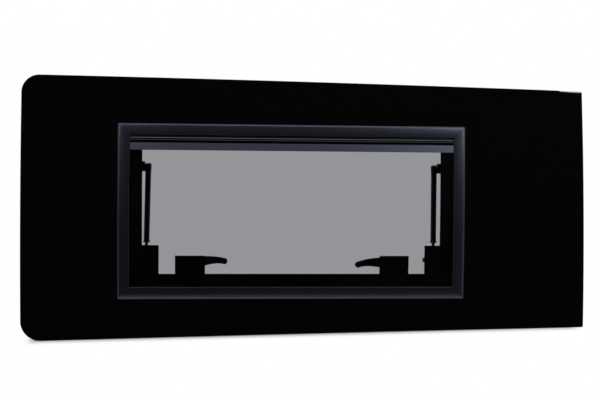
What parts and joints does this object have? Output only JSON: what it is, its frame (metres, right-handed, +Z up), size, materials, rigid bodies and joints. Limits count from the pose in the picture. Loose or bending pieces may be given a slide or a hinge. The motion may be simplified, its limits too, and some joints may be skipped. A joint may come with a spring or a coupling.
{
  "type": "caravan window",
  "caption": "Bonded dark glass side panel with a framed, top-hung window, two gas struts and two turning lever handles.",
  "frame": {"origin": "middle of the flat rear face of the inner frame's bottom rail, under the window's centre", "axes": "+X along the vehicle, to the right from outside; +Y into the vehicle, out of the rear face; +Z up"},
  "size_m": [1.4706, 0.0877, 0.6786],
  "materials": {
    "panel_glass": "gloss, printed black from edge to edge",
    "tinted_glass": "gloss, lightly tinted grey",
    "printed_border": "fired black print",
    "frame_black": "satin black anodised",
    "clamp_black": "satin black anodised",
    "rail_grey": "satin grey anodised",
    "bar_metal": "satin",
    "rubber_seal": "matt",
    "strut_black": "satin black",
    "fitting_black": "moulded",
    "handle_black": "moulded",
    "latch_metal": "zinc plated"
  },
  "bodies": {
    "window": {"fixed_glass": "panel_glass", "frame_top": "frame_black", "frame_bottom": "frame_black", "frame_left": "frame_black", "frame_right": "frame_black", "glazing_gasket": "rubber_seal", "clamp_top": "clamp_black", "clamp_bottom": "clamp_black", "clamp_left": "clamp_black", "clamp_right": "clamp_black", "sash_seal": "rubber_seal", "hinge_bar": "bar_metal", "sash_rail": "rail_grey", "sash_glass": "tinted_glass", "sash_border": "printed_border", "strut_tube_left": "strut_black", "strut_tube_right": "strut_black", "strut_rod_left": "strut_black", "strut_rod_right": "strut_black", "upper_socket_left": "fitting_black", "upper_socket_right": "fitting_black", "lower_socket_left": "fitting_black", "lower_socket_right": "fitting_black", "frame_bracket_left": "fitting_black", "frame_bracket_right": "fitting_black", "sash_bracket_left": "fitting_black", "sash_bracket_right": "fitting_black", "handle_base_left": "handle_black", "handle_base_right": "handle_black", "pivot_screw_left": "latch_metal", "pivot_screw_right": "latch_metal", "keeper_left": "latch_metal", "keeper_right": "latch_metal"},
    "handle_left": {"handle_lever_left": "handle_black", "latch_tongue_left": "latch_metal"},
    "handle_right": {"handle_lever_right": "handle_black", "latch_tongue_right": "latch_metal"}
  },
  "joints": [
    {"name": "left_lever_turn", "type": "hinge", "parent": "window", "child": "handle_left", "pos_m": [-0.265, 0.0133, 0.05375], "axis": [0, -1, 0], "range_deg": [-6, 88]},
    {"name": "right_lever_turn", "type": "hinge", "parent": "window", "child": "handle_right", "pos_m": [0.265, 0.0133, 0.05375], "axis": [0, 1, 0], "range_deg": [0, 94]}
  ]
}
